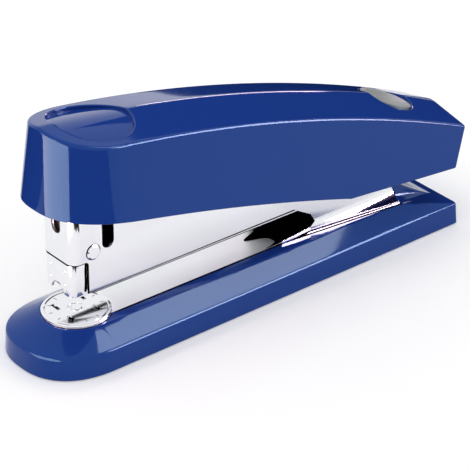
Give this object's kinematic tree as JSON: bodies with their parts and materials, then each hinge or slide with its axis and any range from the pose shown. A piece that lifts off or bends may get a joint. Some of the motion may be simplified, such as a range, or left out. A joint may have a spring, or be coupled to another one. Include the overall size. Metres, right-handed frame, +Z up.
{
  "type": "desk stapler",
  "caption": "Manual front-loading desk stapler with a pressable cap, sprung arm, sliding staple drawer and turning anvil disc",
  "frame": {"origin": "on the floor, under the centre of the anvil disc", "axes": "+X runs from the nose to the hinge end, +Y across the stapler, +Z up"},
  "size_m": [0.1914, 0.0448, 0.0891],
  "materials": {
    "blue_shell": "glossy deep blue moulded plastic",
    "chrome": "bright chrome-plated sheet steel",
    "steel": "plain zinc-plated steel",
    "spring_steel": "drawn spring wire",
    "black_plastic": "matte black moulded plastic",
    "rubber": "soft black rubber",
    "button_green": "pearly silver-green plastic"
  },
  "bodies": {
    "base": {"base_shell": "blue_shell", "base_pad": "rubber", "base_screws": "steel", "base_plate": "chrome", "rear_bracket": "chrome", "spring_block": "black_plastic", "hinge_pin": "steel", "pin_clips": "steel", "return_spring": "spring_steel", "anvil_stud": "chrome", "anvil_spring": "spring_steel"},
    "anvil": {"anvil_disc": "chrome"},
    "arm": {"hood": "chrome", "hood_rivets": "chrome", "front_guide": "black_plastic", "guide_rod": "steel", "rod_holder": "steel", "latch_pin": "steel", "pusher_spring": "spring_steel", "lift_spring": "spring_steel"},
    "latch": {"latch_lever": "steel"},
    "drawer": {"magazine_channel": "chrome", "magazine_nose": "chrome", "staple_rail": "steel"},
    "pusher_shoe": {"pusher": "black_plastic"},
    "cap": {"cap_shell": "blue_shell", "driver_carrier": "steel", "driver_blade": "steel", "carrier_screws": "steel", "guide_pin": "steel", "button_spring": "spring_steel"},
    "button": {"release_button": "button_green"}
  },
  "joints": [
    {"name": "arm_press", "type": "hinge", "parent": "base", "child": "arm", "pos_m": [0.1188, 0, 0.033], "axis": [0, 1, 0], "range_deg": [-3.75, 0], "stiffness_Nm_per_rad": 1.2, "springref_deg": 20.05, "deforming": ["return_spring"]},
    {"name": "cap_press", "type": "hinge", "parent": "arm", "child": "cap", "pos_m": [0.1188, 0, 0.033], "axis": [0, 1, 0], "range_deg": [-6.1, 0], "stiffness_Nm_per_rad": 0.8, "springref_deg": 14.32, "deforming": ["lift_spring"]},
    {"name": "drawer_slide", "type": "slide", "parent": "arm", "child": "drawer", "axis": [-1, 0, 0], "range_m": [0, 0.08]},
    {"name": "pusher_slide", "type": "slide", "parent": "arm", "child": "pusher_shoe", "axis": [1, 0, 0], "range_m": [0, 0.062], "stiffness_N_per_m": 15, "springref_m": -0.05, "deforming": ["pusher_spring"]},
    {"name": "button_press", "type": "slide", "parent": "cap", "child": "button", "axis": [-0.3621, 0, -0.9321], "range_m": [0, 0.003], "stiffness_N_per_m": 150, "springref_m": -0.004, "deforming": ["button_spring"]},
    {"name": "latch_turn", "type": "hinge", "parent": "arm", "child": "latch", "pos_m": [0.109, 0, 0.045], "axis": [0, 1, 0], "range_deg": [0, 6]},
    {"name": "anvil_turn", "type": "hinge", "parent": "base", "child": "anvil", "pos_m": [0, 0, 0.0144], "axis": [0, 0, 1], "continuous": true}
  ],
  "couplings": [
    {"joint": "latch_turn", "follows": "button_press", "rad_per_m": 33}
  ]
}
